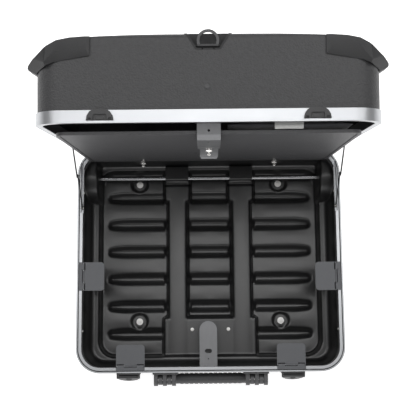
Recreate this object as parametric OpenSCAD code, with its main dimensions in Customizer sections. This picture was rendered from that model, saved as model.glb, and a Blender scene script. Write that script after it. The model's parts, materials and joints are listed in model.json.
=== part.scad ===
// Wheeled hard-shell case with a hinged, aluminium-framed lid, drawn with the lid open.
// Working frame: x right, y back, z up, z = 0 at the parting plane; place() moves it to the row frame.

/* [Case] */
// Outer width over the aluminium frames, mm
case_w = 490; // [440:1:540]
// Outer depth over the aluminium frames, mm
case_d = 411.6; // [380:0.1:440]
// Height of the parting plane above the ground, mm
base_h = 130; // [126:1:140]
// Depth of the lid behind the parting plane, mm
lid_h = 125; // [120:0.1:140]
// Outer corner radius of both frames seen from above, mm
corner_r = 43.7; // [36:0.1:50]
// Wall of both moulded shells, mm
shell_t = 3; // [2.5:0.1:4]
// Opening angle of the lid as drawn, degrees
lid_open = 83.2; // [0:0.1:90]

/* [Frames] */
// Width of the aluminium section seen from above, mm
rim_w = 9.7; // [9.5:0.1:12]
// Height of each aluminium band, mm
band_h = 18; // [16:0.5:22]
// Gap between the two frames when shut, mm
part_gap = 0.4; // [0.3:0.1:0.8]
// Inset of the shells behind the faces of the frames, mm
shell_in = 2.3; // [2:0.1:3]

/* [Floor] */
// Depth of the inner floor below the parting plane, mm
floor_z = 115; // [110:1:118]
// Depth of the inner ledge below the parting plane, mm
ledge_z = 88; // [80:1:95]
// Depth of the grooves and dimples in the floor, mm
groove_h = 6; // [4:0.5:6]
// Width of each floor groove, mm
groove_w = 20; // [14:1:24]
// Height of the tube channels above the floor, mm
channel_h = 20; // [20:1:24]
// Distance of the tube channels from the middle, mm
channel_x = 63; // [60:1:68]

/* [Running gear] */
// Wheel radius, mm
wheel_r = 43; // [40:0.5:43]
// Wheel width, mm
wheel_w = 19; // [15:0.5:19]
// Wheel centre from the middle, mm
wheel_x = 229; // [229:0.5:231]
// Wheel axle in front of the rear face, mm
axle_in = 39.5; // [38:0.5:44]
// Axle diameter, mm
axle_d = 10; // [8:0.5:10]

/* [Pull handle] */
// Outer width of the fixed tube, mm
tube_w = 24; // [22:0.5:26]
// Outer height of the fixed tube, mm
tube_h = 17; // [16:0.5:18]
// Wall of each tube, mm
tube_t = 1.5; // [1:0.1:2]
// Gap between two nested tubes, mm
tube_gap = 0.5; // [0.3:0.1:0.8]

/* [Fittings] */
// Width of a retaining flap along the rim, mm
flap_w = 52; // [40:1:60]
// Length of a retaining flap from its pin, mm
flap_l = 38; // [30:1:40]
// Width of each latch, mm
latch_w = 42; // [36:1:46]
// Latch centre from the middle, mm
latch_x = 150; // [140:1:155]
// Half length of the carry handle grip, mm
grip_x = 60; // [55:1:62]
// Radius of the carry handle bar, mm
bar_r = 9.5; // [8:0.5:10]
// Width of the two tongues, mm
tongue_w = 33; // [28:1:40]
// Distance of the lid stay pivots from the hinge line, mm
stay_in = 108; // [100:1:115]

/* [Board] */
// Width of the lid board over its edging, mm
board_w = 431; // [400:1:450]
// Thickness of the lid board, mm
board_t = 3; // [2:0.5:4]

/* [Hidden] */
$fn = 48;
eps = 0.01;
big = 400;
run_fit = 0.05;               // radial clearance of a turning joint
half_w = case_w / 2;
half_d = case_d / 2;
hinge_y = half_d;
rim_in_x = half_w - rim_w;
rim_in_y = half_d - rim_w;
shell_x = half_w - shell_in;
shell_y = half_d - shell_in;
shell_r = corner_r - shell_in;
slot_h = 7.8;                 // shell edge held inside the frame
bend_z = 50;                  // where the tub walls start to lean in
ledge_x = 229;                // outer half width at the ledge
ledge_y = 191;                // outer half depth at the ledge
low_x = 219;                  // outer half width of the lower tub
low_y = 185;                  // outer half depth of the lower tub
low_r = 34;
floor_out = floor_z + shell_t;
rib_out = floor_out + groove_h;
foot_h = base_h - rib_out;
foot_r = 14;
dimple_r = 17;
foot_x = 139;
foot_back = 159;
foot_front = -114.5;
groove_y0 = -139;
groove_pitch = 54;
groove_n = 6;
side_groove = [92, 204];      // inner and outer ends of the side grooves
mid_groove = 36;
wide_half = 23.3;             // wide part of a tube channel
wide_from = 118;
slim_half = 18;
channel_end = -105;
plate_half = 90;
channel_top = -floor_z + channel_h;
clip_half = 22.5;             // blocks that hold the axle on the channels
clip_y = 161.5;
clip_top = -79.5;
axle_y = half_d - axle_in;
axle_z = -base_h + wheel_r + 0.5;
well_r = wheel_r + 3.5;
well_x = wheel_x - wheel_w / 2 - 2.5;
hand_y = -220;                // carry handle pivot
hand_z = -20;
bar_drop = 32;
lid_out = lid_h;
screw_d = 49;
lever_rest = 20;            // the open latch levers lean out by this angle
lever_y = -half_d - 7.2;
lever_z = -8;
lever_r = 21;
stay_z = 5;
stay_t = 1.2;
stay_half = 3.5;
stay_low_x = rim_in_x + 0.8;
stay_up_x = stay_low_x + stay_t + 0.4;
stay_y = hinge_y - stay_in;
lid_pivot = [hinge_y - stay_in * cos(lid_open) + stay_z * sin(lid_open),
             stay_in * sin(lid_open) + stay_z * cos(lid_open)];
stay_span = [lid_pivot[0] - stay_y, lid_pivot[1] + stay_z];
stay_l = norm(stay_span) / 2;
stay_angle = atan2(stay_span[1], stay_span[0]);
pocket_x = rim_in_x + 4;
board_s = [36, 390];          // lower and upper edge of the board, from the hinge line
board_d = [-20.3, -10];       // depth of its back face at those edges
board_l = norm([board_s[1] - board_s[0], board_d[1] - board_d[0]]);
board_tilt = atan2(board_d[1] - board_d[0], board_s[1] - board_s[0]);
board_y = hinge_y - (board_s[0] + board_s[1]) / 2;
board_z = (board_d[0] + board_d[1]) / 2;
knob_x = 118.5;
knob_y = hinge_y - 50;
knob_z = -25.5;
strap_knob_y = -134;
strap_flat = -28;
loop_y = -200;
loop_z = 106.4;
loop_mid = 113.3;
flap_pin_x = -2.6;
flap_pin_z = -2.6;
tube_z = channel_top - shell_t - 0.5 - tube_h / 2;
step = 2 * (tube_t + tube_gap);
fins = [64, 80.5, 97];
recess = [[-34, 126.4], [-17.5, 100.2], [17.5, 100.2], [34, 126.4]];
recess_in = [[-30.5, 127.4], [-15.9, 102.6], [15.9, 102.6], [30.5, 127.4]];
lid_back = hinge_y + lid_out * sin(lid_open) - (shell_in + 10) * cos(lid_open);
row_y = (lid_back + hand_y - 11) / 2;

// ---------- frames of reference ----------
module place() translate([0, -row_y, base_h]) children();
module on_lid()
    place() translate([0, hinge_y, 0]) rotate([-lid_open, 0, 0])
        translate([0, -hinge_y, 0]) children();
module on_board()
    on_lid() translate([0, board_y, board_z]) rotate([-board_tilt, 0, 0]) children();
module both_sides() {
    children();
    mirror([1, 0, 0]) children();
}
module at_feet()
    for (sx = [-1, 1], fy = [foot_back, foot_front]) translate([sx * foot_x, fy, 0]) children();

// ---------- shared shapes ----------
module rounded(w, d, r) {
    square([w - 2 * r, d], center = true);
    square([w, d - 2 * r], center = true);
    for (sx = [-1, 1], sy = [-1, 1]) translate([sx * (w / 2 - r), sy * (d / 2 - r)]) circle(r);
}
module slab(w, d, r, z0, z1) translate([0, 0, z0]) linear_extrude(z1 - z0) rounded(w, d, r);
module ring(w, d, r, band, z0, z1)
    translate([0, 0, z0]) linear_extrude(z1 - z0) difference() {
        rounded(w, d, r);
        rounded(w - 2 * band, d - 2 * band, r - band);
    }
module block(x0, x1, y0, y1, z0, z1) translate([x0, y0, z0]) cube([x1 - x0, y1 - y0, z1 - z0]);
// 2D child in the y, z plane, drawn out from x0 to x1
module along_x(x0, x1) translate([x0, 0, 0]) rotate([90, 0, 90]) linear_extrude(x1 - x0) children();
// 2D child in the x, z plane, drawn out from y0 to y1
module along_y(y0, y1) translate([0, y1, 0]) rotate([90, 0, 0]) linear_extrude(y1 - y0) children();
module rod_x(x0, x1, y, z, r) along_x(x0, x1) translate([y, z]) circle(r);
module rod_y(x, z, y0, y1, r) along_y(y0, y1) translate([x, z]) circle(r);
module rod_z(x, y, z0, z1, r) translate([x, y, z0]) cylinder(h = z1 - z0, r = r);
// a bent strip of thickness t through the points p, round at every bend and end
module strip(p, t) {
    for (i = [0 : len(p) - 2]) {
        run = p[i + 1] - p[i];
        translate(p[i]) rotate(atan2(run[1], run[0])) translate([0, -t / 2]) square([norm(run), t]);
    }
    for (q = p) translate(q) circle(t / 2);
}
function mirrored(h) = concat(h, [for (i = [len(h) - 1 : -1 : 0]) [-h[i][0], h[i][1]]]);
module capsule(x0, x1, r) {
    translate([x0 + r, -r]) square([x1 - x0 - 2 * r, 2 * r]);
    for (x = [x0 + r, x1 - r]) translate([x, 0]) circle(r);
}
// round screw or rivet head with its shank, pointing up from z = 0
module stud(head_r, head_h, shank_r, shank_h) {
    cylinder(h = head_h / 2, r = head_r);
    translate([0, 0, head_h / 2]) cylinder(h = head_h / 2, r = head_r * 0.7);
    translate([0, 0, -shank_h]) cylinder(h = shank_h + eps, r = shank_r);
}

// ---------- base tub ----------
module tub_upper(t, top)
    intersection() {
        slab(2 * (shell_x - t), 2 * (shell_y - t), shell_r - t, -ledge_z - shell_t + t, top);
        along_y(-big, big) polygon(mirrored([[ledge_x - t, -ledge_z - shell_t + t],
            [shell_x - t, -bend_z - t / 4], [shell_x - t, top + 1]]));
        along_x(-big, big) polygon(mirrored([[ledge_y - t, -ledge_z - shell_t + t],
            [shell_y - t, -bend_z - t / 4], [shell_y - t, top + 1]]));
    }
module tub_lower(t, top) slab(2 * (low_x - t), 2 * (low_y - t), low_r - t, -floor_out + t, top);
module tub_solid() {
    tub_upper(0, -band_h + slot_h);
    tub_lower(0, -ledge_z);
}
// one row of three floor grooves
module groove_row(t, z0, z1)
    translate([0, 0, z0]) linear_extrude(z1 - z0) {
        for (sx = [0, 1]) mirror([sx, 0])
            capsule(side_groove[0] - t, side_groove[1] + t, groove_w / 2 + t);
        capsule(-mid_groove - t, mid_groove + t, groove_w / 2 + t);
    }
module recesses(t, z0, z1) {
    for (i = [0 : groove_n - 1])
        translate([0, groove_y0 + i * groove_pitch, 0]) groove_row(t, z0, z1);
    at_feet() rod_z(0, 0, z0, z1, dimple_r + t);
}
module channels(t, low, high, front) {
    both_sides() {
        block(channel_x - slim_half + t, channel_x + slim_half - t, channel_end - 5, wide_from + 5,
            low, high);
        block(channel_x - wide_half + t, channel_x + wide_half - t, wide_from + t, low_y - t,
            low, high);
    }
    block(-plate_half + t, plate_half - t, front, channel_end - t, low, high);
}
module well(x0, r) {
    rod_x(x0, half_w + 5, axle_y, axle_z, r);
    block(x0, half_w + 5, axle_y - r, half_d + 10, -base_h, axle_z);
    block(x0, half_w + 5, axle_y, half_d + 10, -base_h, axle_z + r);
}
module base_shell() color([0.13, 0.13, 0.14]) place() difference() {
    union() {
        difference() {
            union() {
                tub_solid();
                recesses(shell_t, -rib_out, -floor_out + eps);
            }
            tub_upper(shell_t, 1);
            tub_lower(shell_t, 1);
            recesses(0, -rib_out + shell_t, -floor_z + 1);
        }
        channels(0, -floor_out, channel_top, -low_y);
        intersection() {
            tub_solid();
            both_sides() well(well_x - shell_t, well_r + shell_t);
        }
    }
    channels(shell_t, -rib_out - 1, channel_top - shell_t, -low_y - 1);
    both_sides() well(well_x, well_r);
    both_sides() rod_x(low_x - 20, half_w, axle_y, axle_z, axle_d / 2 + run_fit);
    at_feet() rod_z(0, 0, -rib_out - 1, -floor_z, 2 + run_fit);
    for (x = [-35, 35]) rod_z(x, -130, channel_top - shell_t - 1, channel_top + 1, 1.5);
    both_sides() for (y = [-78, 78]) rod_x(low_x - shell_t - 1, low_x + 1, y, -101, 1.5);
    both_sides() rod_y(176, -101, -low_y - 1, -low_y + shell_t + 1, 1.5);
}
module base_frame() color([0.82, 0.83, 0.84]) place() difference() {
    ring(case_w, case_d, corner_r, rim_w, -band_h, 0);
    ring(case_w - 5, case_d - 5, corner_r - 2.5, 2, -2.5, 1);
    ring(2 * shell_x, 2 * shell_y, shell_r, shell_t, -band_h - 1, -band_h + slot_h);
    both_sides() {
        block(rim_in_x - 1, pocket_x, 88, 182, -9.6, 1);
        rod_x(140 - 31, 140 + 31, hinge_y, 0, 5);
        rod_x(rim_in_x - 1, half_w - 2, stay_y, -stay_z, 1.5);
        for (y = [-130, 127]) rod_x(rim_in_x - 1, rim_in_x + 2.5, y, -13.5, 1.25);
    }
    at_flaps() block(-4.2, 6.2, -flap_w / 2 - 0.2, flap_w / 2 + 0.2, -1.4, 1);
}
module frame_seal() color([0.05, 0.05, 0.05]) place() difference() {
    ring(case_w - 5.1, case_d - 5.1, corner_r - 2.55, 1.9, -2.45, -0.3);
    both_sides() {
        block(140 - 31, 140 + 31, hinge_y - 5, hinge_y, -3, 1);
        block(rim_in_x - 1, pocket_x + 0.5, 150, 184, -3, 1);
    }
    at_flaps() block(3, 6.3, -flap_w / 2 - 0.3, flap_w / 2 + 0.3, -1.4, 1);
}
module rubber_feet() color([0.06, 0.06, 0.06]) place() at_feet() difference() {
    union() {
        rod_z(0, 0, -base_h + 1.2, -rib_out, foot_r);
        rod_z(0, 0, -base_h, -rib_out, foot_r - 1.5);
    }
    rod_z(0, 0, -base_h + 2, -rib_out + 1, 2 + run_fit);
}
module foot_screws() color([0.8, 0.8, 0.78]) place() at_feet()
    translate([0, 0, -rib_out + shell_t]) {
        cylinder(h = 1.4, r = 6.5);
        translate([0, 0, 1.4]) stud(3.6, 2.4, 2, shell_t + 4.5);
    }

// ---------- corner bumpers, drawn in x, y and depth from the parting plane ----------
// cuts away all that lies beyond the plane through p with outward normal n
module shave(p, n) translate(p) rotate([0, acos(n[2] / norm(n)), atan2(n[1], n[0])])
    translate([-100, -100, 0]) cube([200, 200, 60]);
module bumper_blank() difference() {
    bumper_block();
    shave([192, -208.3, 105], [-11, -850, -198]);
    shave([241, -190.5, 90], [0.652, -0.562, -0.423]);
    shave([256, -157, 83], [0.906, 0, -0.423]);
}
module bumper_block() intersection() {
    along_y(-half_d - 8, -118) polygon([[162.5, 93.3], [162.5, 119.6], [190, 117.6], [209, 113.8],
        [222, 107.5], [240, 95], [255.5, 85.5], [256, 81], [243, 73.5], [213, 84.5]]);
    translate([0, 0, 60]) linear_extrude(80) polygon([[162.5, -205.2], [170, -207.6], [206, -208.6],
        [226, -204], [247, -186], [256, -168], [256, -146], [249, -130], [241, -122], [196, -122],
        [196, -186], [162.5, -198]]);
}
module base_bumpers() color([0.1, 0.1, 0.1]) place() both_sides() difference() {
    mirror([0, 0, 1]) bumper_blank();
    tub_solid();
    recesses(shell_t + run_fit, -rib_out - 1, -floor_out + 1);
}
module lid_bumpers() color([0.1, 0.1, 0.1]) on_lid() both_sides() difference() {
    bumper_blank();
    lid_solid(0);
}

// ---------- running gear ----------
module axle() color([0.75, 0.76, 0.78]) place()
    rod_x(-half_w + 4.5, half_w - 4.5, axle_y, axle_z, axle_d / 2);
module axle_caps() color([0.6, 0.6, 0.62]) place() both_sides() {
    difference() {
        rod_x(well_x, well_x + 2, axle_y, axle_z, 8);
        rod_x(well_x - 1, well_x + 3, axle_y, axle_z, axle_d / 2);
    }
    difference() {
        rod_x(wheel_x + wheel_w / 2 + 0.5, half_w - 4, axle_y, axle_z, 8);
        rod_x(0, half_w - 4.5, axle_y, axle_z, axle_d / 2);
    }
}
module axle_clips() color([0.2, 0.2, 0.21]) place() both_sides() difference() {
    along_x(channel_x - clip_half, channel_x + clip_half) polygon([[clip_y, channel_top],
        [low_y - shell_t - 0.2, channel_top], [low_y - shell_t - 0.2, 0.3 - ledge_z],
        [ledge_y - shell_t - 0.4, 0.3 - ledge_z], [ledge_y - shell_t - 0.4, clip_top],
        [clip_y + 2, clip_top], [clip_y, clip_top - 2]]);
    rod_x(0, half_w, axle_y, axle_z, axle_d / 2);
}
module tyre(sx) place() translate([sx * wheel_x, 0, 0]) difference() {
    union() {
        rod_x(-wheel_w / 2 + 3, wheel_w / 2 - 3, axle_y, axle_z, wheel_r);
        rod_x(-wheel_w / 2, wheel_w / 2, axle_y, axle_z, wheel_r - 2.5);
    }
    rod_x(-big, big, axle_y, axle_z, wheel_r - 11);
}
module hub(sx) place() translate([sx * wheel_x, 0, 0]) difference() {
    union() {
        rod_x(-wheel_w / 2 + 2, wheel_w / 2 - 2, axle_y, axle_z, wheel_r - 11);
        rod_x(-wheel_w / 2, wheel_w / 2, axle_y, axle_z, 11);
    }
    for (s = [-1, 1]) difference() {
        rod_x(s * 8 - 4.5, s * 8 + 4.5, axle_y, axle_z, wheel_r - 15);
        rod_x(-20, 20, axle_y, axle_z, 11);
        for (a = [0 : 60 : 300]) translate([0, axle_y, axle_z]) rotate([a, 0, 0])
            block(-20, 20, 8, wheel_r - 12, -1.8, 1.8);
    }
    rod_x(-big, big, axle_y, axle_z, axle_d / 2 + run_fit);
}
module tyre_left() color([0.07, 0.07, 0.07]) tyre(-1);
module tyre_right() color([0.07, 0.07, 0.07]) tyre(1);
module hub_left() color([0.3, 0.3, 0.31]) hub(-1);
module hub_right() color([0.3, 0.3, 0.31]) hub(1);

// ---------- telescopic pull handle, kept under the floor ----------
module tube(w, h, y0, y1) both_sides() along_y(y0, y1) translate([channel_x, tube_z]) difference() {
    square([w, h], center = true);
    square([w - 2 * tube_t, h - 2 * tube_t], center = true);
}
module fixed_tubes() color([0.45, 0.46, 0.48]) place() tube(tube_w, tube_h, -103, 116);
module middle_tubes() color([0.7, 0.71, 0.73]) place()
    tube(tube_w - step, tube_h - step, -104, 112);
module inner_tubes() color([0.75, 0.76, 0.78]) place()
    tube(tube_w - 2 * step, tube_h - 2 * step, -152, 108);
module pull_grip() color([0.12, 0.12, 0.13]) place() difference() {
    union() {
        both_sides() block(channel_x - 13, channel_x + 13, -168, -148, tube_z - 8, tube_z + 8);
        rod_x(-82, 82, -174, tube_z, 8.5);
        both_sides() rod_y(channel_x + 13, tube_z, -174, -150, 8);
    }
    both_sides() along_y(-152, -100) translate([channel_x, tube_z])
        square([tube_w - 2 * step, tube_h - 2 * step], center = true);
    block(-15, 15, -184, -171, tube_z - 5, tube_z + 5);
}
module grip_button() color([0.5, 0.1, 0.1]) place()
    block(-14.4, 14.4, -183.5, -174, tube_z - 4.4, tube_z + 4.4);
module tube_clamps() color([0.4, 0.4, 0.42]) place() both_sides() for (y = [-78, 92])
    difference() {
        union() {
            block(channel_x - 24, channel_x + 24, y - 8, y + 8, -floor_out - 1.8, -floor_out);
            block(channel_x - 12, channel_x + 12, y - 8, y + 8, -floor_out - eps,
                tube_z - tube_h / 2);
            for (x = [-20, 20]) rod_z(channel_x + x, y, -floor_out - 3, -floor_out - 1.8 + eps, 3);
        }
        rod_z(channel_x, y, -floor_out - 3, -floor_out + 1, 2);
    }
module plate_rivets() color([0.6, 0.6, 0.58]) place() for (x = [-35, 35])
    translate([x, -130, channel_top]) stud(3.4, 1.6, 1.5, shell_t + 1);

// ---------- small fixings in the tub and frame ----------
module wall_screws() color([0.35, 0.35, 0.36]) place() {
    both_sides() for (y = [-78, 78])
        translate([low_x - shell_t, y, -101]) rotate([0, -90, 0]) stud(3, 1.6, 1.5, shell_t + 1.5);
    both_sides() translate([176, -low_y + shell_t, -101]) rotate([-90, 0, 0])
        stud(3, 1.6, 1.5, shell_t + 1.5);
}
module rim_rivets() color([0.85, 0.85, 0.84]) place() both_sides() for (y = [-130, 127])
    translate([rim_in_x, y, -13.5]) rotate([0, -90, 0]) stud(2.4, 1, 1.25, 2.5);
module base_tongue() color([0.5, 0.51, 0.52]) place() translate([-4, 0, 0]) difference() {
    union() {
        translate([0, 0, -48]) linear_extrude(2) {
            translate([-tongue_w / 2, -shell_y + shell_t + 0.5])
                square([tongue_w, 200 - 130.5]);
            translate([0, -130.5]) circle(tongue_w / 2);
        }
        block(-tongue_w / 2, tongue_w / 2, -shell_y + shell_t, -shell_y + shell_t + 2, -48, -22);
        for (x = [-9, 9]) rod_y(x, -30, -shell_y + shell_t + 2 - eps, -shell_y + shell_t + 3.4, 2.6);
    }
    translate([0, -169.6, -50]) linear_extrude(6) capsule(-6.5, 6.5, 4);
    rod_z(0, -184, -50, -44, 1.3);
}

// ---------- retaining flaps; local x runs outward over the rim, y along it ----------
module at_flap(i) {
    spot = [[-rim_in_x, -30.5, 180], [rim_in_x, -33.5, 0], [-146, -rim_in_y, -90],
        [146.5, -rim_in_y, -90]][i];
    translate([spot[0], spot[1], 0]) rotate([0, 0, spot[2]]) children();
}
module at_flaps() for (i = [0 : 3]) at_flap(i) children();
module flap(i) place() at_flap(i) difference() {
    union() {
        translate([0, 0, -2.9]) linear_extrude(1.5) {
            translate([flap_pin_x - flap_l + 6, -flap_w / 2]) square([flap_l - 6, flap_w]);
            translate([flap_pin_x - flap_l, -flap_w / 2 + 6]) square([8, flap_w - 12]);
            for (s = [-1, 1]) translate([flap_pin_x - flap_l + 6, s * (flap_w / 2 - 6)]) circle(6);
        }
        rotate([90, 0, 0]) translate([flap_pin_x, flap_pin_z, 0])
            cylinder(h = flap_w, r = 2, center = true);
    }
    rotate([90, 0, 0]) translate([flap_pin_x, flap_pin_z, 0])
        cylinder(h = flap_w + 2, r = 1 + run_fit, center = true);
    for (s = [-1, 1]) block(-6, 0, s * 18 - 6.4, s * 18 + 6.4, -6, 1);
}
module flap_left() color([0.4, 0.41, 0.42]) flap(0);
module flap_right() color([0.45, 0.47, 0.5]) flap(1);
module flap_front_left() color([0.38, 0.39, 0.4]) flap(2);
module flap_front_right() color([0.38, 0.39, 0.4]) flap(3);
module flap_leaves() color([0.16, 0.16, 0.17]) place() at_flaps() difference() {
    union() {
        block(flap_pin_x + 1, 5.8, -flap_w / 2, flap_w / 2, -1.4, -0.45);
        for (s = [-1, 1]) rotate([90, 0, 0]) translate([flap_pin_x, flap_pin_z, -s * 18])
            cylinder(h = 12, r = 2, center = true);
        for (s = [-1, 1]) block(flap_pin_x, flap_pin_x + 2, s * 18 - 6, s * 18 + 6, -1.6, -0.6);
        for (s = [-1, 1]) rod_z(2.6, s * 15, -0.5, -0.1, 1.9);
    }
    rotate([90, 0, 0]) translate([flap_pin_x, flap_pin_z, 0])
        cylinder(h = flap_w + 2, r = 1, center = true);
    for (s = [-1 : 1]) block(flap_pin_x - 3, flap_pin_x + 2.5, s * 36 - 12, s * 36 + 12, -6, -0.1);
}
module flap_pins() color([0.6, 0.6, 0.62]) place() at_flaps() rotate([90, 0, 0])
    translate([flap_pin_x, flap_pin_z, 0]) cylinder(h = flap_w - 1, r = 1, center = true);

// ---------- latches ----------
module at_latch(sx) translate([sx * latch_x, 0, 0]) children();
module latch_bodies() color([0.15, 0.15, 0.16]) place() for (sx = [-1, 1]) at_latch(sx)
    difference() {
        union() {
            block(-latch_w / 2, latch_w / 2, -half_d - 3.7, -half_d, -31, -2);
            for (s = [-1, 1]) {
                rod_x(s * 19.5 - 1.5, s * 19.5 + 1.5, lever_y, lever_z, 3.4);
                block(s * 19.5 - 1.5, s * 19.5 + 1.5, lever_y, -half_d - 3, lever_z - 3.4,
                    lever_z + 3.4);
            }
            for (s = [-1, 1]) rod_y(s * 12, -26, -half_d - 4.9, -half_d - 3, 2.4);
        }
        rod_x(-big, big, lever_y, lever_z, 1.25);
    }
module latch_pins() color([0.6, 0.6, 0.6]) place() for (sx = [-1, 1]) at_latch(sx)
    rod_x(-latch_w / 2, latch_w / 2, lever_y, lever_z, 1.25);
// the lever hangs down and leans out by lever_rest
module lever(sx) place() at_latch(sx) translate([0, lever_y, lever_z])
    rotate([-lever_rest, 0, 0]) difference() {
        union() {
            rod_x(-17.5, 17.5, 0, 0, 3.2);
            intersection() {
                rod_y(0, 0, -1.6, 1.4, lever_r);
                block(-17.5, 17.5, -5, 5, -lever_r - 1, 0);
            }
            intersection() {
                rod_y(0, 0, -1.6, 1.4, lever_r);
                block(-lever_r, lever_r, -5, 5, -lever_r - 1, -4.5);
            }
            rod_y(0, -12.5, -2.6, -1.5, 5);
        }
        rod_x(-big, big, 0, 0, 1.25 + run_fit);
        rod_y(0, -12.5, -3, -2, 3);
    }
module latch_lever_left() color([0.22, 0.22, 0.23]) lever(-1);
module latch_lever_right() color([0.22, 0.22, 0.23]) lever(1);

// ---------- carry handle ----------
module handle_brackets() color([0.25, 0.25, 0.26]) place() both_sides() difference() {
    union() {
        block(grip_x, 106, -half_d - 3.7, -half_d, -37, -4);
        for (x = fins) {
            rod_x(x, x + 7, hand_y, hand_z, 11);
            block(x, x + 7, hand_y, -half_d - 3, hand_z - 11, hand_z + 11);
        }
        for (x = [67.5, 84, 100.5]) rod_y(x, -33.5, -half_d - 5, -half_d - 3, 2.2);
        for (x = [66.5, 85]) rod_z(x, -half_d - 2, -4 - eps, -1.5, 1.8);
    }
    rod_x(0, big, hand_y, hand_z, 2.5);
}
module handle_pins() color([0.6, 0.6, 0.6]) place() both_sides()
    rod_x(fins[0], fins[2] + 7, hand_y, hand_z, 2.5);
module carry_handle() color([0.36, 0.36, 0.37]) place() difference() {
    union() {
        rod_x(-103, 103, hand_y, hand_z - bar_drop, bar_r);
        for (x = [-54 : 9 : 54]) rod_x(x - 3, x + 3, hand_y, hand_z - bar_drop, bar_r + 0.7);
        both_sides() for (x = [72, 88.5])
            along_x(x, x + 7.5) strip([[hand_y, hand_z], [hand_y, hand_z - bar_drop]], 18);
    }
    rod_x(-big, big, hand_y, hand_z, 2.5 + run_fit);
}

// ---------- lid hinge ----------
module hinge_spots() for (sx = [-1, 1]) translate([sx * 140, 0, 0]) children();
module hinge_leaves_base() color([0.3, 0.3, 0.31]) place() hinge_spots() difference() {
    union() {
        block(-30, 30, hinge_y, hinge_y + 1.8, -band_h + 1, -5);
        for (s = [-1, 1]) {
            rod_x(s * 22.5 - 7.5, s * 22.5 + 7.5, hinge_y, 0, 4.5);
            block(s * 22.5 - 7.5, s * 22.5 + 7.5, hinge_y, hinge_y + 1.8, -6, -2);
        }
        for (x = [-20, 0, 20]) rod_y(x, -12, hinge_y + 1.7, hinge_y + 2.8, 2.6);
    }
    rod_x(-31, 31, hinge_y, 0, 2);
}
module hinge_pins() color([0.65, 0.65, 0.66]) place() hinge_spots() rod_x(-30, 30, hinge_y, 0, 2);
module hinge_leaves_lid() color([0.3, 0.3, 0.31]) on_lid() hinge_spots() difference() {
    union() {
        block(-30, 30, hinge_y, hinge_y + 1.8, 5.2, band_h - 1);
        rod_x(-14.5, 14.5, hinge_y, 0, 4.5);
        block(-14.5, 14.5, hinge_y, hinge_y + 1.8, 2, 6);
        for (x = [-20, 0, 20]) rod_y(x, 12, hinge_y + 1.7, hinge_y + 2.8, 2.6);
    }
    rod_x(-31, 31, hinge_y, 0, 2 + run_fit);
}

// ---------- folding lid stays ----------
module link(x0, from, angle, rivet_x0, rivet_x1) difference() {
    union() {
        along_x(x0, x0 + stay_t)
            strip([from, from + stay_l * [cos(angle), sin(angle)]], 2 * stay_half);
        if (rivet_x1 > rivet_x0)
            rod_x(rivet_x0, rivet_x1, from[0] + stay_l * cos(angle), from[1] + stay_l * sin(angle),
                2.4);
    }
    rod_x(x0 - 1, x0 + stay_t + 1, from[0], from[1], 1.5 + run_fit);
}
module stay_lower() place()
    link(stay_low_x, [stay_y, -stay_z], stay_angle, rim_in_x - 0.2, stay_low_x + eps);
module stay_upper() place() link(stay_up_x, lid_pivot, stay_angle + 180, 0, 0);
module stay_lower_left() color([0.2, 0.2, 0.2]) mirror([1, 0, 0]) stay_lower();
module stay_lower_right() color([0.2, 0.2, 0.2]) stay_lower();
module stay_upper_left() color([0.2, 0.2, 0.2]) mirror([1, 0, 0]) stay_upper();
module stay_upper_right() color([0.2, 0.2, 0.2]) stay_upper();
module stay_pin(z) {
    rod_x(rim_in_x - 0.1, half_w - 2, stay_y, z, 1.5);
    rod_x(rim_in_x - 1.3, rim_in_x - 0.1 + eps, stay_y, z, 3.2);
}
module stay_pins_base() color([0.85, 0.85, 0.84]) place() both_sides() stay_pin(-stay_z);
module stay_pins_lid() color([0.85, 0.85, 0.84]) on_lid() both_sides() stay_pin(stay_z);

// ---------- lid ----------
module lid_solid(t) intersection() {
    slab(2 * (shell_x - t), 2 * (shell_y - t), shell_r - t, band_h - slot_h - t, lid_out - t);
    along_y(-big, big) polygon(mirrored([[shell_x - t, 0], [shell_x - t, 72],
        [shell_x - t - 17, 101 - t / 2], [206 - t, 113.3 - t * 0.8], [179, 119.2 - t],
        [117, 123.2 - t], [58, lid_out - t], [0, lid_out - t]]));
    along_x(-big, big) polygon(mirrored([[shell_y - t, 0], [shell_y - t, 115.6],
        [shell_y - t - 3, 121.4 - t * 0.6], [shell_y - t - 10, lid_out - t]]));
}
module lid_shell() color([0.14, 0.14, 0.15]) on_lid() difference() {
    lid_solid(0);
    lid_solid(shell_t);
    along_y(-half_d, -188) polygon(recess);
    rod_y(-2, screw_d, -half_d, -half_d + 10, 2);
}
module lid_frame() color([0.82, 0.83, 0.84]) on_lid() difference() {
    ring(case_w, case_d, corner_r, rim_w, part_gap, band_h);
    ring(2 * shell_x, 2 * shell_y, shell_r, shell_t, band_h - slot_h, band_h + 1);
    both_sides() {
        block(rim_in_x - 1, pocket_x, 88, 182, -1, 9.6);
        rod_x(140 - 31, 140 + 31, hinge_y, 0, 5);
        rod_x(rim_in_x - 1, half_w - 2, stay_y, stay_z, 1.5);
    }
}
module lid_catches() color([0.17, 0.17, 0.18]) on_lid() for (sx = [-1, 1]) at_latch(sx)
    translate([-sx, 0, 0]) {
        difference() {
            along_y(-half_d - 3.6, -half_d) polygon(mirrored([[9.2, 19.2], [14.4, 15.6], [17.8, 10],
                [19, 3.6]]));
            along_y(-half_d - 5, -half_d - 1.4) polygon(mirrored([[8.5, 12], [10, 3]]));
            for (s = [-1, 1]) block(s * 14 - 1.8, s * 14 + 1.8, -half_d - 5, -half_d - 1.4, 0, 7);
        }
        block(-5.5, 5.5, -half_d - 2.6, -half_d - 1.4 + eps, 5, 9);
    }
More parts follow.
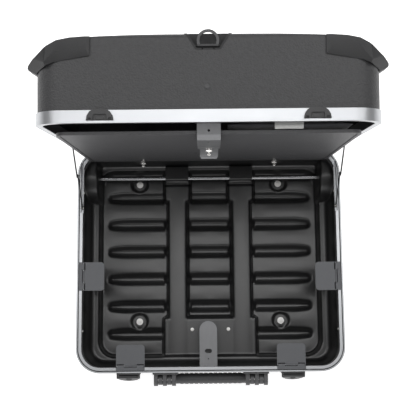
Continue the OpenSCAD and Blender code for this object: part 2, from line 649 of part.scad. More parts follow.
module loop_housing() color([0.12, 0.12, 0.13]) on_lid() {
    difference() {
        intersection() {
            along_y(-shell_y, -188) polygon(recess);
            lid_solid(0);
        }
        along_y(-big, -190.5) polygon(recess_in);
        rod_y(-8, 101.3, -big, -195, 0.9);
        rod_y(8, 101.3, -big, -195, 0.9);
    }
    block(-12.7, 12.7, -196.5, -190.4, 103.4, 109.9);
    rod_x(-19.5, 19.5, loop_y, loop_z, 1);
}
module lid_loop() color([0.05, 0.05, 0.05]) on_lid() difference() {
    union() {
        along_y(loop_y - 1.4, loop_y + 1.4) difference() {
            translate([0, loop_mid]) circle(15.5);
            translate([0, loop_mid]) circle(11.8);
            translate([-20, 80]) square([40, loop_z - 80]);
        }
        rod_x(-14.6, 14.6, loop_y, loop_z, 2);
    }
    rod_x(-20, 20, loop_y, loop_z, 1 + run_fit);
}
module lid_screw() color([0.5, 0.5, 0.5]) on_lid()
    translate([-2, -shell_y, screw_d]) rotate([90, 0, 0]) stud(3.6, 1.6, 2, shell_t + 3);
module lid_tongue() color([0.5, 0.51, 0.52]) on_lid() difference() {
    union() {
        along_x(-tongue_w / 2, tongue_w / 2) strip([[-rim_in_y + 1, 16], [-rim_in_y + 1, 6],
            [-191.5, -15], [-186, -22], [-150, strap_flat], [-118, strap_flat]], 2);
        along_x(-tongue_w / 2 + 3, tongue_w / 2 - 3)
            strip([[-119, strap_flat], [-97, -38.5], [-94.6, -38.5]], 2);
        along_x(-tongue_w / 2 + 4.5, tongue_w / 2 - 4.5) strip([[-98, -38.4], [-95, -40.4]], 2.4);
        rod_y(0, 11.5, -rim_in_y + 1.9, -rim_in_y + 3.6, 3.4);
    }
    rod_z(0, strap_knob_y, -40, -20, 2.5 + run_fit);
    along_y(-200, -180) translate([0, -10]) circle(1.7);
    rod_z(0, -176, -40, -15, 1.1);
}
// quarter-turn stud with two ears, a round tip in front and a collar behind
module knob(x, y, z, collar_z) on_lid() {
    translate([x, y, z]) {
        translate([0, 0, -1.2]) cylinder(h = 1.2 + eps, r = 4.4);
        translate([0, 0, -8.2]) cylinder(h = 8.2, r = 1.9);
        translate([0, 0, -8.2]) sphere(2.7);
        block(-3.2, 3.2, -1.5, 1.5, -5, -2.6);
        for (s = [-1, 1]) rod_z(s * 3.2, 0, -5, -2.6, 1.5);
    }
    rod_z(x, y, z - eps, collar_z + eps, 2.5);
    rod_z(x, y, collar_z, collar_z + 1.2, 4);
}
module knob_centre() color([0.86, 0.86, 0.84])
    knob(0, strap_knob_y, strap_flat - 1.4, strap_flat + 1.4);
module knob_left() color([0.86, 0.86, 0.84]) knob(-knob_x, knob_y, knob_z, -14.6);
module knob_right() color([0.86, 0.86, 0.84]) knob(knob_x, knob_y, knob_z, -14.6);
module lid_board() color([0.2, 0.2, 0.21]) difference() {
    on_board() {
        slab(board_w, board_l, 16, -board_t, 0);
        ring(board_w, board_l, 16, 5, -board_t - 1, 0.8);
    }
    on_lid() for (s = [-1, 1]) rod_z(s * knob_x, knob_y, -40, 0, 4);
    on_board() rod_z(-22, 60, -10, 10, 2.5);
}
module board_brackets() color([0.4, 0.4, 0.42]) on_lid() both_sides() difference() {
    union() {
        along_x(knob_x - 15, knob_x + 15) strip([[rim_in_y - 1, 16], [rim_in_y - 1, 5],
            [189, -8], [178, -16], [146, -16]], 2);
        for (x = [-8, 8]) rod_y(knob_x + x, 11.5, rim_in_y - 3.4, rim_in_y - 1.9, 2.6);
    }
    rod_z(knob_x, knob_y, -40, 0, 2.5 + run_fit);
}
module document_pouch() color([0.08, 0.08, 0.09]) on_board()
    translate([114.5, -46, 0]) slab(176, 250, 7.5, 1.2, 17.2);
module label_plate() color([0.9, 0.9, 0.9]) on_board()
    block(92.5, 133, -46 - 125 - 1.4, -46 - 125, 3, 15);

base_shell();
base_frame();
frame_seal();
rubber_feet();
foot_screws();
base_bumpers();
axle();
axle_caps();
axle_clips();
tyre_left();
tyre_right();
hub_left();
hub_right();
fixed_tubes();
middle_tubes();
inner_tubes();
pull_grip();
grip_button();
tube_clamps();
plate_rivets();
wall_screws();
rim_rivets();
base_tongue();
flap_left();
flap_right();
flap_front_left();
flap_front_right();
flap_leaves();
flap_pins();
latch_bodies();
latch_pins();
latch_lever_left();
latch_lever_right();
handle_brackets();
handle_pins();
carry_handle();
hinge_leaves_base();
hinge_pins();
stay_pins_base();
stay_lower_left();
stay_lower_right();
stay_upper_left();
stay_upper_right();
lid_shell();
lid_frame();
lid_bumpers();
lid_catches();
loop_housing();
lid_loop();
lid_screw();
hinge_leaves_lid();
stay_pins_lid();
lid_tongue();
knob_centre();
knob_left();
knob_right();
lid_board();
board_brackets();
document_pouch();
label_plate();
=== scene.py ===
import bpy
import bmesh
import json
import math
import numpy as np
from mathutils import Matrix, Vector


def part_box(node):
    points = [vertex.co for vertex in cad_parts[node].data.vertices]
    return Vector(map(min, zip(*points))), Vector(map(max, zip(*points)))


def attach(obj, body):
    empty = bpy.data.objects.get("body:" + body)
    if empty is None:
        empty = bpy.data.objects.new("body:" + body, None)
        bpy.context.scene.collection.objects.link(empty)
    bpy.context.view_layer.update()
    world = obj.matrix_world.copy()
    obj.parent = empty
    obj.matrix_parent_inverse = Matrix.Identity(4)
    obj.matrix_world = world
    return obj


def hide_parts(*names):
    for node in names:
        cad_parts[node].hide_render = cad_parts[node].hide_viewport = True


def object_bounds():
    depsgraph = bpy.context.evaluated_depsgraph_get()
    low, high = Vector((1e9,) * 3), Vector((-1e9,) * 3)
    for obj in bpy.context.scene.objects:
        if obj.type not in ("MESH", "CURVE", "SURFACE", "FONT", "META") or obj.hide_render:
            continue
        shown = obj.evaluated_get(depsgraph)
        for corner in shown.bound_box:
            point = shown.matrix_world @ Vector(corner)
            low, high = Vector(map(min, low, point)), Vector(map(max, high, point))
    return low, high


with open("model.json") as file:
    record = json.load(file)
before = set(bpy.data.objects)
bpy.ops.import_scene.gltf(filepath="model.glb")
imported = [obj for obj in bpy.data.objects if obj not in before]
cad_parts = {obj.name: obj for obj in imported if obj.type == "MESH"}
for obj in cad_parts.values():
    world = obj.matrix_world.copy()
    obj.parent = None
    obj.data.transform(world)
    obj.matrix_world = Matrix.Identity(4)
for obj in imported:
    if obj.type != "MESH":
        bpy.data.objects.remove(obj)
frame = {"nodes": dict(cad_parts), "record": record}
CAD_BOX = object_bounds()
NODES = frame["nodes"]
RECORD = frame["record"]
JOINTS = {j["name"]: j for j in RECORD["behaviour"]["joints"]}
HINGE = Vector(JOINTS["lid_hinge"]["pos_m"])
OPEN = math.radians(JOINTS["lid_hinge"]["range_deg"][1])
MM = 0.001
HINGE_Y = (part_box("base_frame")[1][1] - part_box("base_frame")[0][1]) / 2 / MM

# Case coordinates are millimetres: x right, y back, z up, z = 0 at the parting plane.
CASE = Matrix.Translation(HINGE) @ Matrix.Scale(MM, 4) @ Matrix.Translation((0, -HINGE_Y, 0))
LID = (Matrix.Translation(HINGE) @ Matrix.Rotation(-OPEN, 4, "X") @ Matrix.Scale(MM, 4)
       @ Matrix.Translation((0, -HINGE_Y, 0)))


# ---------- small tools ----------
def new_piece(name, verts, faces, body, finish, place=CASE):
    """A mesh piece in millimetres, put in the row frame and ridden on a body."""
    mesh = bpy.data.meshes.new(name)
    mesh.from_pydata([place @ Vector(v) for v in verts], [], faces)
    mesh.validate()
    mesh.materials.append(finish)
    obj = bpy.data.objects.new(name, mesh)
    bpy.context.scene.collection.objects.link(obj)
    mesh.shade_smooth()
    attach(obj, body)
    return obj


def ramp(d, a, b):
    """A smooth step, 0 below a and 1 above b."""
    s = np.clip((d - a) / (b - a), 0, 1)
    return s * s * (3 - 2 * s)


def box_depth(x, y, hx, hy, r):
    """How far inside a rounded rectangle of half sizes hx, hy a point lies, in mm."""
    qx, qy = np.abs(x) - (hx - r), np.abs(y) - (hy - r)
    outside = np.hypot(np.maximum(qx, 0), np.maximum(qy, 0))
    return r - outside - np.minimum(np.maximum(qx, qy), 0)


def rounded_grid(hx, hy, r, step, edge):
    """Grid lines over a rectangle, its corner squares drawn in to quarter discs.
    edge lists the first lines' distances from the sides."""
    def lines(h):
        inner = np.linspace(-(h - edge[-1]), h - edge[-1], int(2 * (h - edge[-1]) / step) | 1)
        side = h - np.array(edge)
        return np.concatenate([-side, inner[1:-1], side[::-1]])
    x, y = np.meshgrid(lines(hx), lines(hy), indexing="ij")
    u, v = np.maximum(np.abs(x) - (hx - r), 0) / r, np.maximum(np.abs(y) - (hy - r), 0) / r
    both = (u > 0) & (v > 0)
    nu = np.where(both, u * np.sqrt(1 - v * v / 2), u)
    nv = np.where(both, v * np.sqrt(1 - u * u / 2), v)
    sx = np.where(u > 0, np.sign(x) * (hx - r + r * nu), x)
    sy = np.where(v > 0, np.sign(y) * (hy - r + r * nv), y)
    return sx, sy


def sheet_faces(shape, flip=False):
    """The quads of a grid of points."""
    n, m = shape
    faces = []
    for i in range(n - 1):
        for j in range(m - 1):
            a, b = i * m + j, (i + 1) * m + j
            quad = (a, b, b + 1, a + 1)
            faces.append(quad[::-1] if flip else quad)
    return faces


def modifier(obj, kind, **values):
    m = obj.modifiers.new(kind.lower(), kind)
    for key, value in values.items():
        setattr(m, key, value)
    return m


SEAM = 2e-6          # CAD vertices closer than this are one point, in metres
SHARP_ANGLE = 32     # degrees


def soften(obj, width):
    """Rounds the sharp edges of a carried-over CAD node."""
    modifier(obj, "WELD", merge_threshold=SEAM)
    modifier(obj, "BEVEL", width=width * MM, segments=2, limit_method="ANGLE",
             angle_limit=math.radians(SHARP_ANGLE), harden_normals=False,
             use_clamp_overlap=True)
    modifier(obj, "WEIGHTED_NORMAL", keep_sharp=False, weight=80)


# ---------- materials ----------
def node_of(tree, kind, **inputs):
    """A shader node with its constant inputs set."""
    n = tree.nodes.new(kind)
    for key, value in inputs.items():
        key = key.replace("_", " ")
        if key in n.inputs:
            n.inputs[key].default_value = value
    return n


MARKS_FROM, MARKS_TO = 0.62, 0.72      # where the noise turns into a scratch


def shader(tree, metal, specular, sheen, coat, coat_rough):
    bsdf = tree.nodes["Principled BSDF"]
    bsdf.inputs["Metallic"].default_value = metal
    bsdf.inputs["Specular IOR Level"].default_value = specular
    if sheen:
        bsdf.inputs["Sheen Weight"].default_value = sheen
    if coat:
        bsdf.inputs["Coat Weight"].default_value = coat
        bsdf.inputs["Coat Roughness"].default_value = coat_rough
    return bsdf


def texture_place(tree, stretch):
    """Object coordinates, drawn out along an axis for a brushed or drawn metal."""
    coord = tree.nodes.new("ShaderNodeTexCoord")
    mapping = tree.nodes.new("ShaderNodeMapping")
    tree.links.new(coord.outputs["Object"], mapping.inputs["Vector"])
    if stretch:
        mapping.inputs["Scale"].default_value = stretch
    return mapping.outputs["Vector"]


def add_scratches(tree, where, colour, color, lift):
    """Thin lighter marks, where a distorted noise peaks."""
    marks = node_of(tree, "ShaderNodeTexNoise", Scale=160.0, Detail=8.0, Roughness=0.75,
                    Distortion=1.5)
    tree.links.new(where, marks.inputs["Vector"])
    cut = node_of(tree, "ShaderNodeMapRange")
    cut.inputs["From Min"].default_value = MARKS_FROM
    cut.inputs["From Max"].default_value = MARKS_TO
    tree.links.new(marks.outputs["Fac"], cut.inputs["Value"])
    worn = tree.nodes.new("ShaderNodeMix")
    worn.data_type = "RGBA"
    worn.inputs["B"].default_value = (*[min(1.0, c + lift) for c in color], 1)
    tree.links.new(cut.outputs["Result"], worn.inputs["Factor"])
    tree.links.new(colour, worn.inputs["A"])
    return worn.outputs["Result"]


def bump_source(tree, kind, size):
    """The height texture of one bump layer, size in mm."""
    if kind == "pebble":
        tex = node_of(tree, "ShaderNodeTexVoronoi", Scale=1000 / size, Randomness=0.9)
        tex.feature = "SMOOTH_F1"
        return tex, tex.outputs["Distance"]
    if kind == "weave":
        tex = node_of(tree, "ShaderNodeTexWave", Scale=500 / size, Distortion=1.2, Detail=1.0)
        tex.bands_direction = "DIAGONAL"
        return tex, tex.outputs["Fac"]
    tex = node_of(tree, "ShaderNodeTexNoise", Scale=1000 / size, Detail=3.0)
    return tex, tex.outputs["Fac"]


def material(name, color, rough=0.5, metal=0.0, vary=0.25, vary_size=25.0, grain=None,
             fine=None, rough_vary=0.1, stretch=None, specular=0.5, sheen=0.0, coat=0.0,
             coat_rough=0.03, pattern="noise", scratches=0.0):
    """A procedural finish: mottled colour and roughness, a grain bump and a finer bump.
    grain and fine are (size in mm, bump height in mm)."""
    m = bpy.data.materials.new(name)
    m.use_nodes = True
    tree = m.node_tree
    links = tree.links
    bsdf = shader(tree, metal, specular, sheen, coat, coat_rough)
    where = texture_place(tree, stretch)

    mottle = node_of(tree, "ShaderNodeTexNoise", Scale=1000 / vary_size, Detail=5.0, Roughness=0.6)
    links.new(where, mottle.inputs["Vector"])
    tint = tree.nodes.new("ShaderNodeMix")
    tint.data_type = "RGBA"
    low = [c * (1 - vary) for c in color]
    high = [min(1.0, c * (1 + vary)) for c in color]
    tint.inputs["A"].default_value = (*low, 1)
    tint.inputs["B"].default_value = (*high, 1)
    links.new(mottle.outputs["Fac"], tint.inputs["Factor"])
    colour = tint.outputs["Result"]

    shine = node_of(tree, "ShaderNodeMapRange")
    shine.inputs["To Min"].default_value = max(0.05, rough - rough_vary)
    shine.inputs["To Max"].default_value = min(1.0, rough + rough_vary)
    links.new(mottle.outputs["Fac"], shine.inputs["Value"])
    gloss = shine.outputs["Result"]

    if scratches:
        colour = add_scratches(tree, where, colour, color, scratches)
    links.new(colour, bsdf.inputs["Base Color"])
    links.new(gloss, bsdf.inputs["Roughness"])
    normal = None
    for spec, kind in ((grain, pattern), (fine, "noise")):
        if not spec:
            continue
        size, height = spec
        tex, out = bump_source(tree, kind, size)
        links.new(where, tex.inputs["Vector"])
        bump = node_of(tree, "ShaderNodeBump", Strength=1.0, Distance=height * MM)
        links.new(out, bump.inputs["Height"])
        if normal:
            links.new(normal, bump.inputs["Normal"])
        normal = bump.outputs["Normal"]
    if normal:
        links.new(normal, bsdf.inputs["Normal"])
    return m


MAT = {
    "shell": material("moulded_shell", (0.03, 0.03, 0.0315), rough=0.5, vary=0.55,
                      vary_size=4.5, grain=(2.4, 0.55), fine=(1.2, 0.3), pattern="pebble",
                      rough_vary=0.12),
    "tub": material("moulded_tub", (0.007, 0.007, 0.0075), rough=0.3, vary=0.25, vary_size=45,
                    grain=(2.4, 0.03), fine=(0.9, 0.02), pattern="pebble", rough_vary=0.05,
                    specular=0.7, coat=0.35, coat_rough=0.62),
    "frame": material("anodised_frame", (0.47, 0.48, 0.495), rough=0.36, metal=1.0, vary=0.04,
                      vary_size=40, fine=(0.4, 0.006), rough_vary=0.06, stretch=(1, 1, 8)),
    "rubber": material("soft_rubber", (0.018, 0.018, 0.019), rough=0.75, vary=0.3, vary_size=8,
                       fine=(0.6, 0.04)),
    "bumper": material("grained_bumper", (0.012, 0.012, 0.013), rough=0.5, vary=0.25,
                       vary_size=30, grain=(1.2, 0.14), fine=(0.5, 0.05), pattern="pebble",
                       scratches=0.015),
    "moulding": material("fine_moulding", (0.022, 0.022, 0.023), rough=0.42, vary=0.2,
                         vary_size=12, fine=(0.5, 0.04)),
    "handle": material("soft_handle", (0.075, 0.075, 0.078), rough=0.5, vary=0.2, vary_size=10,
                       grain=(0.9, 0.07), fine=(0.4, 0.04), pattern="pebble"),
    "tyre": material("tyre_rubber", (0.022, 0.022, 0.023), rough=0.8, vary=0.35, vary_size=9,
                     grain=(1.0, 0.08), fine=(0.4, 0.05), scratches=0.02),
    "hub": material("hub_plastic", (0.13, 0.13, 0.135), rough=0.45, vary=0.2, vary_size=14,
                    fine=(0.6, 0.04)),
    "bright": material("bright_steel", (0.68, 0.67, 0.65), rough=0.25, metal=1.0, vary=0.08,
                       vary_size=6, fine=(0.3, 0.004), rough_vary=0.1, stretch=(0.1, 1, 1)),
    "zinc": material("zinc_washer", (0.8, 0.79, 0.77), rough=0.4, metal=0.35, vary=0.08,
                     vary_size=5, fine=(0.4, 0.01)),
    "dark_steel": material("black_steel", (0.05, 0.05, 0.052), rough=0.4, metal=0.3, vary=0.3,
                           vary_size=6, fine=(0.4, 0.02), scratches=0.06),
    "grey_steel": material("grey_steel", (0.1, 0.103, 0.11), rough=0.42, metal=0.3,
                           vary=0.12, vary_size=14, fine=(0.5, 0.02), scratches=0.03),
    "tube": material("drawn_tube", (0.3, 0.302, 0.31), rough=0.2, metal=1.0, vary=0.1,
                     vary_size=10, fine=(0.3, 0.004), rough_vary=0.05, stretch=(1, 0.06, 1)),
    "tongue": material("brushed_tongue", (0.19, 0.192, 0.198), rough=0.4, metal=0.6, vary=0.15,
                       vary_size=9, fine=(0.5, 0.02), scratches=0.05, stretch=(1, 0.3, 1)),
    "button": material("button_gloss", (0.25, 0.02, 0.02), rough=0.3, vary=0.15, vary_size=6,
                       fine=(0.8, 0.02), coat=0.3),
    "board": material("board_panel", (0.055, 0.055, 0.058), rough=0.5, vary=0.5, vary_size=5,
                      grain=(2.2, 0.25), fine=(1.0, 0.1), pattern="pebble"),
    "pouch": material("pouch_fabric", (0.12, 0.12, 0.13), rough=0.6, vary=0.3, vary_size=12,
                      grain=(0.8, 0.08), fine=(0.4, 0.05), pattern="weave", sheen=0.3),
    "label": material("label_gloss", (0.9, 0.9, 0.88), rough=0.35, vary=0.05, vary_size=10,
                      fine=(0.9, 0.01)),
}
# the look of each material slot, then of the nodes that differ from their slot
SLOT_LOOK = {"shell": "shell", "frame": "frame", "seal": "rubber", "bumper": "bumper",
             "moulding": "moulding", "handle": "handle", "tyre": "tyre", "hub": "hub",
             "bright_steel": "bright", "dark_steel": "dark_steel", "grey_steel": "grey_steel",
             "tube": "tube", "button": "button", "board": "board", "pouch": "pouch",
             "label": "label"}
NODE_LOOK = {"axle": "tube", "foot_screws": "zinc", "plate_rivets": "zinc", "rim_rivets": "zinc",
             "loop_housing": "rubber", "lid_screw": "dark_steel", "lid_loop": "dark_steel",
             "base_tongue": "tongue", "lid_tongue": "tongue", "axle_clips": "tub",
             "flap_leaves": "grey_steel"}
# edge radius in mm
SOFTEN_REST = 0.25
SOFTEN = {"base_frame": 0.5, "lid_frame": 0.5, "base_bumpers": 1.2, "lid_bumpers": 1.2,
          "carry_handle": 0.8, "handle_brackets": 1.2, "latch_bodies": 0.7,
          "latch_lever_left": 0.6, "latch_lever_right": 0.6, "lid_catches": 0.7,
          "axle_clips": 1.0, "pull_grip": 1.2, "loop_housing": 0.4, "lid_loop": 0.5,
          "lid_board": 0.6, "tyre_left": 1.5, "tyre_right": 1.5, "hub_left": 0.6,
          "hub_right": 0.6, "rubber_feet": 0.6}


def dress_cad_nodes():
    """Every carried-over CAD node gets its finish and softened edges."""
    for entry in RECORD["subparts"]:
        obj = NODES[entry["node"]]
        for s in obj.material_slots:
            look = NODE_LOOK.get(entry["node"], SLOT_LOOK[entry["material_slot"]])
            s.material = MAT[look]
        soften(obj, SOFTEN.get(entry["node"], SOFTEN_REST))


# ---------- base tub, one vacuum-formed sheet ----------
WALL = 3.0
AXLE = JOINTS["wheel_right_spin"]["pos_m"]
AXLE_Y = (AXLE[1] - HINGE[1]) / MM + HINGE_Y
AXLE_Z = (AXLE[2] - HINGE[2]) / MM

TUB_X, TUB_Y, TUB_CORNER = 239.7, 200.5, 38.4
TUB_STEP, TUB_EDGE = 1.8, (0, 0.5, 1.5, 2.5)
FLOOR_X, FLOOR_Y, FLOOR_CORNER = 216, 182, 31      # the sunk floor inside the ledge
FLOOR, LEDGE, CHANNEL = -115, -88, -95             # heights of the three levels
TUB_WALL = ((0, -10.3), (0.5, -48), (2.5, -53.5), (7.5, -78.5), (9.0, -82.5), (11.0, -85.7),
            (14.5, LEDGE), (60, LEDGE))            # distance in from the side, height
GROOVES, FIRST_GROOVE, GROOVE_PITCH, GROOVE_DEPTH = 6, -139, 54, 9.4
GROOVE_HALF, GROOVE_TAPER = 10.5, 3   # half width at the outer end, and what it gains
MIDDLE_HALF = 13.5           # half width between the channels
GROOVE_RISE = 11.5           # how far a groove's soft side runs
GROOVE_END = 193             # centre of a groove's round outer end
BESIDE, BETWEEN = 84.5, 43   # where grooves start beside and between the channels
DIMPLE_X, DIMPLE_Y, DIMPLE_R, DIMPLE_DEPTH = 139, (159, -114.5), 18.5, 6.2
TUBE_X = 63                  # middle of a pull tube's channel
SLIM = (10, 22.0, 128, 9)    # a channel part's y, half width, half length and corner
WIDE = (161, 28.6, 44, 11)
PLATE = (-172, 94.0, 69, 9)
SHOULDER = 8.5               # width of a channel's rounded edge
CHANNEL_CROWN = 1.6          # how much a channel's top is rounded
DIP_Y, DIP_DEPTH = 156.5, 5.5   # the dip across each channel in front of its axle block
ARCH_R = 49.5                # wheel well around the axle
ARCH_SIDE = (211, 215.5)     # where the floor turns up into the wheel wells
NO_ARCH = -130               # below every part of the floor


def groove_dip(x, y):
    """Rows of soft grooves: tapering outer ends, squarer ends beside the channels.
    The floor between them sags very slightly."""
    dip = np.zeros_like(x)
    ax = np.abs(x)
    for i in range(GROOVES):
        gy = np.abs(y - (FIRST_GROOVE + GROOVE_PITCH * i))
        half = GROOVE_HALF + GROOVE_TAPER * ramp(206 - ax, 0, 40)
        end = np.hypot(np.maximum(ax - GROOVE_END, 0), gy)
        side = ramp(half - end, 0, GROOVE_RISE) * ramp(ax - BESIDE, 0, 8.0)
        middle = ramp(MIDDLE_HALF - gy, 0, GROOVE_RISE) * ramp(BETWEEN - ax, 0, 8.0)
        dip = np.maximum(dip, GROOVE_DEPTH * np.maximum(side, middle))
    sag = 1.1 * np.cos((y - FIRST_GROOVE) * math.pi / GROOVE_PITCH) ** 2
    return dip + sag * ramp(12 - np.abs(np.abs(ax - 100) - 55), -60, 0)


def dimple_dip(x, y):
    """Round dimples over the feet, which hold their screws."""
    dip = np.zeros_like(x)
    for fy in DIMPLE_Y:
        away = np.hypot(np.abs(x) - DIMPLE_X, y - fy)
        dip = np.maximum(dip, DIMPLE_DEPTH * ramp(DIMPLE_R - away, 0, 5.5))
    return dip


def channel_lift(x, y):
    """The two tube channels and the cross plate that joins them, 0 to 1."""
    inside = np.full_like(x, -1.0)
    for across, (cy, hx, hy, r) in ((np.abs(x) - TUBE_X, SLIM), (np.abs(x) - TUBE_X, WIDE),
                                    (x, PLATE)):
        inside = np.maximum(inside, box_depth(across, y - cy, hx, hy, r))
    return 1 - (1 - np.clip(inside / SHOULDER, 0, 1)) ** 2.6


def tub_height(x, y):
    """Walls, ledge, sunk floor with its grooves and channels, and the wheel wells."""
    t = box_depth(x, y, TUB_X, TUB_Y, TUB_CORNER)
    z = np.interp(t, *zip(*TUB_WALL))
    low = box_depth(x, y, FLOOR_X, FLOOR_Y, FLOOR_CORNER)
    floor = FLOOR - groove_dip(x, y) - dimple_dip(x, y)
    crown = CHANNEL_CROWN * np.clip(np.abs(np.abs(x) - TUBE_X) / 19, 0, 1) ** 2
    dip = DIP_DEPTH * ramp(4.5 - np.abs(y - DIP_Y), 0, 3.0) * (np.abs(x) > 30)
    channel = CHANNEL + 0.6 - crown - dip
    floor = floor + (channel - floor) * channel_lift(x, y)
    z = z + (floor - z) * ramp(low, -1.0, 4.8)
    arch = AXLE_Z + np.sqrt(np.maximum(ARCH_R ** 2 - np.minimum(y - AXLE_Y, 0) ** 2, 0))
    arch = np.where(y > AXLE_Y - ARCH_R, arch, NO_ARCH)
    return z + np.maximum(arch - z, 0) * ramp(np.abs(x), *ARCH_SIDE)


def build_tub():
    x, y = rounded_grid(TUB_X, TUB_Y, TUB_CORNER, TUB_STEP, TUB_EDGE)
    z = tub_height(x, y)
    verts = list(zip(x.ravel(), y.ravel(), z.ravel()))
    tub = new_piece("tub_sheet", verts, sheet_faces(x.shape), "base", MAT["tub"])
    modifier(tub, "SOLIDIFY", thickness=WALL * MM, offset=-1.0)
    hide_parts("base_shell")
    return tub


# ---------- lid shell ----------
LID_X, LID_Y, LID_CORNER = 242.7, 203.5, 41.4
LID_TOP, LID_RIM = 125.0, 10.4
LID_SIDE = 0.4               # the side leans in by this much on its way up
LID_STEP = 3.0
LID_SHARP = 38               # degrees
# the lid's crown: distance out from the middle, height
LID_ACROSS = ((0, LID_TOP), (58, LID_TOP), (90, 124.3), (117, 123.2), (150, 121.4),
              (179, 119.2), (195, 116.8), (206, 113.6), (216, 108.4), (225.7, 101),
              (233, 91.5), (239, 80.5), (LID_X, 70))
LID_ALONG = ((0, LID_TOP), (188, LID_TOP), (193.5, 124.4), (197.5, 123.0), (200.5, 121.0),
             (202.6, 118.4), (LID_Y, 115.0))
BLEND = 3.0                  # how softly the two crowns meet
LID_EDGE = (0, 0.1, 0.2, 0.3, 0.35, 0.37, LID_SIDE, 1.2, 2.2, 3.5, 5.0, 7.0, 9.5)
# the gap for the lid's loop, cut through the front edge
NOTCH = ((-34, 126.4), (-17.5, 100.2), (17.5, 100.2), (34, 126.4))
NOTCH_FROM, NOTCH_TO = -215, -187.9


def lid_height(x, y):
    """A straight side and a crown that falls off across and, less, along the lid."""
    fx = np.interp(np.abs(x), *zip(*LID_ACROSS))
    fy = np.interp(np.abs(y), *zip(*LID_ALONG))
    h = np.clip(0.5 + 0.5 * (fy - fx) / BLEND, 0, 1)
    top = fy + (fx - fy) * h - BLEND * h * (1 - h)
    t = box_depth(x, y, LID_X, LID_Y, LID_CORNER)
    return LID_RIM + (top - LID_RIM) * np.clip(t / LID_SIDE, 0, 1)


def prism_y(name, outline, y0, y1, place):
    """A prism along y used to cut a piece; it isn't kept."""
    n = len(outline)
    verts = [(px, y0, pz) for px, pz in outline] + [(px, y1, pz) for px, pz in outline]
    faces = [tuple(range(n))[::-1], tuple(range(n, 2 * n))]
    faces += [(i, (i + 1) % n, n + (i + 1) % n, n + i) for i in range(n)]
    mesh = bpy.data.meshes.new(name)
    mesh.from_pydata([place @ Vector(v) for v in verts], [], faces)
    bm = bmesh.new()
    bm.from_mesh(mesh)
    bmesh.ops.recalc_face_normals(bm, faces=bm.faces)
    bm.to_mesh(mesh)
    bm.free()
    obj = bpy.data.objects.new(name, mesh)
    bpy.context.scene.collection.objects.link(obj)
    return obj


def apply_modifiers(obj):
    """Bakes the modifiers of a new piece into its mesh."""
    graph = bpy.context.evaluated_depsgraph_get()
    graph.update()
    mesh = bpy.data.meshes.new_from_object(obj.evaluated_get(graph))
    obj.modifiers.clear()
    old = obj.data
    obj.data = mesh
    bpy.data.meshes.remove(old)


def cut_away(obj, cutter):
    """Cuts a new piece with a prism, which is then removed."""
    modifier(obj, "BOOLEAN", object=cutter, operation="DIFFERENCE", solver="EXACT")
    apply_modifiers(obj)
    bpy.data.objects.remove(cutter, do_unlink=True)


def build_lid():
    x, y = rounded_grid(LID_X, LID_Y, LID_CORNER, LID_STEP, LID_EDGE)
    z = lid_height(x, y)
    verts = list(zip(x.ravel(), y.ravel(), z.ravel()))
    lid = new_piece("lid_sheet", verts, sheet_faces(x.shape), "lid", MAT["shell"], place=LID)
    modifier(lid, "SOLIDIFY", thickness=WALL * MM, offset=-1.0)
    cut_away(lid, prism_y("notch", NOTCH, NOTCH_FROM, NOTCH_TO, LID))
    lid.data.set_sharp_from_angle(angle=math.radians(LID_SHARP))
    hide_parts("lid_shell")
    return lid


# ---------- document pouch ----------
POUCH_WIDTH, POUCH_LENGTH, POUCH_THICK = 176.0, 250.0, 16.0
POUCH_SKIN = 1.2                       # how far it stands off the board
POUCH_AT = (114.5, -213, -15.15)       # from the hinge line, in the lid
POUCH_MIDDLE = -46
POUCH_TILT = math.atan2(10.3, 354)
POUCH_GRID = (61, 83)
POUCH_SEED = 7                         # for the wrinkles


def build_pouch():
    """A filled pouch: two wrinkled faces that meet along a seam."""
    n, m = POUCH_GRID
    at = Vector(POUCH_AT) + Vector((0, HINGE_Y, 0))
    place = LID @ Matrix.Translation(at) @ Matrix.Rotation(-POUCH_TILT, 4, "X")
    rng = np.random.default_rng(POUCH_SEED)
    phase = rng.uniform(0, 6.28, 6)
    u, v = np.meshgrid(np.linspace(-1, 1, n), np.linspace(-1, 1, m), indexing="ij")
    swell = (1 - np.abs(u) ** 5) ** 0.5 * (1 - np.abs(v) ** 7) ** 0.5
    wrinkle = 0.5 * np.sin(9 * v + phase[0] + 2 * u) * (1 - u * u)
    wrinkle = wrinkle + 0.35 * np.sin(17 * u + phase[1])
    pull = 1 - 0.012 * (1 - np.abs(v))
    half = POUCH_THICK / 2
    x = u * POUCH_WIDTH / 2 * pull
    y = POUCH_MIDDLE + v * POUCH_LENGTH / 2 * (1 - 0.008 * (1 - np.abs(u)))
    front = POUCH_SKIN + half - (half - 0.6) * swell
    back = POUCH_SKIN + half + (half - POUCH_SKIN + wrinkle * 0.8) * swell
    verts = list(zip(x.ravel(), y.ravel(), front.ravel()))
    verts += list(zip(x.ravel(), y.ravel(), back.ravel()))
    faces = sheet_faces((n, m), flip=True)
    faces += [tuple(i + n * m for i in f) for f in sheet_faces((n, m))]
    pouch = new_piece("pouch_body", verts, faces, "lid", MAT["pouch"], place=place)
    modifier(pouch, "WELD", merge_threshold=2e-5)
    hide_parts("document_pouch")
    return pouch


# ---------- camera, light and floor ----------
CAM_TILT, CAM_ROLL = 7.792, -0.5615    # degrees
CAM_LENS = 69.44                       # mm, on a 36 mm sensor
CAM_AT = (-2.19, -108.0, 1479.5)       # case coordinates


def build_camera():
    tilt, roll = math.radians(CAM_TILT), math.radians(CAM_ROLL)
    cam = bpy.data.cameras.new("camera")
    cam.sensor_width = 36
    cam.lens = CAM_LENS
    cam.clip_end = 20
    obj = bpy.data.objects.new("camera", cam)
    bpy.context.scene.collection.objects.link(obj)
    where = CASE @ Vector(CAM_AT)
    obj.matrix_world = (Matrix.Translation(where) @ Matrix.Rotation(tilt, 4, "X")
                        @ Matrix.Rotation(roll, 4, "Z"))
    bpy.context.scene.camera = obj


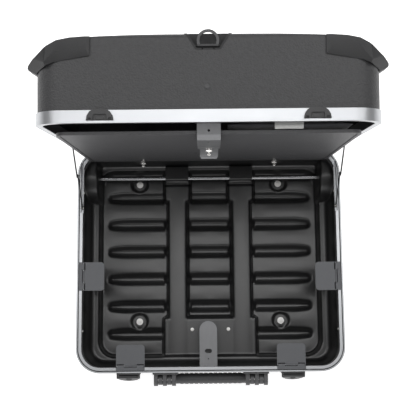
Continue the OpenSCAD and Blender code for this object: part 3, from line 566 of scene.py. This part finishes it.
def area(name, at, look, size, energy):
    light = bpy.data.lights.new(name, "AREA")
    light.shape = "RECTANGLE"
    light.size, light.size_y = size
    light.energy = energy
    obj = bpy.data.objects.new(name, light)
    bpy.context.scene.collection.objects.link(obj)
    obj.location = at
    obj.rotation_euler = (Vector(look) - Vector(at)).to_track_quat("-Z", "Y").to_euler()


# name, place, point it faces, size in metres, watts
SOFT_BOXES = (("top", (0.03, 0.2, 2.2), (0.03, 0.2, 0), (0.85, 0.75), 5.0),
              ("top_back", (0.03, 0.85, 2.2), (0.03, 0.85, 0), (1.0, 0.6), 3.6),
              ("strip_left", (-0.9, 0.1, 1.9), (0, 0, 0), (0.12, 1.2), 2.6),
              ("strip_right", (0.9, 0.1, 1.9), (0, 0, 0), (0.12, 1.2), 2.6),
              ("back_left", (-1.3, 1.2, 1.9), (0, 0, 0.2), (0.8, 0.8), 16),
              ("back_right", (1.3, 1.2, 1.9), (0, 0, 0.2), (0.8, 0.8), 16),
              ("front", (0.0, -2.0, 1.0), (0, 0, 0.1), (1.8, 0.8), 9))
FLOOR_GLOW = 0.75


def build_studio():
    scene = bpy.context.scene
    scene.view_settings.view_transform = "Standard"
    world = bpy.data.worlds.new("studio")
    scene.world = world
    world.use_nodes = True
    world.node_tree.nodes["Background"].inputs["Color"].default_value = (1, 1, 1, 1)
    world.node_tree.nodes["Background"].inputs["Strength"].default_value = 0.3
    for box in SOFT_BOXES:
        area(*box)
    bpy.ops.mesh.primitive_plane_add(size=90, location=(0, 0, CAD_BOX[0][2]))
    floor = bpy.context.object
    floor.name = "studio_floor"
    pale = material("pale_floor", (0.86, 0.86, 0.86), rough=0.9, vary=0.01, vary_size=400,
                    fine=(3, 0.02))
    glow = pale.node_tree.nodes["Principled BSDF"]
    glow.inputs["Emission Color"].default_value = (1, 1, 1, 1)
    glow.inputs["Emission Strength"].default_value = FLOOR_GLOW
    floor.data.materials.append(pale)


build_camera()
build_studio()
dress_cad_nodes()
build_tub()
build_lid()
build_pouch()
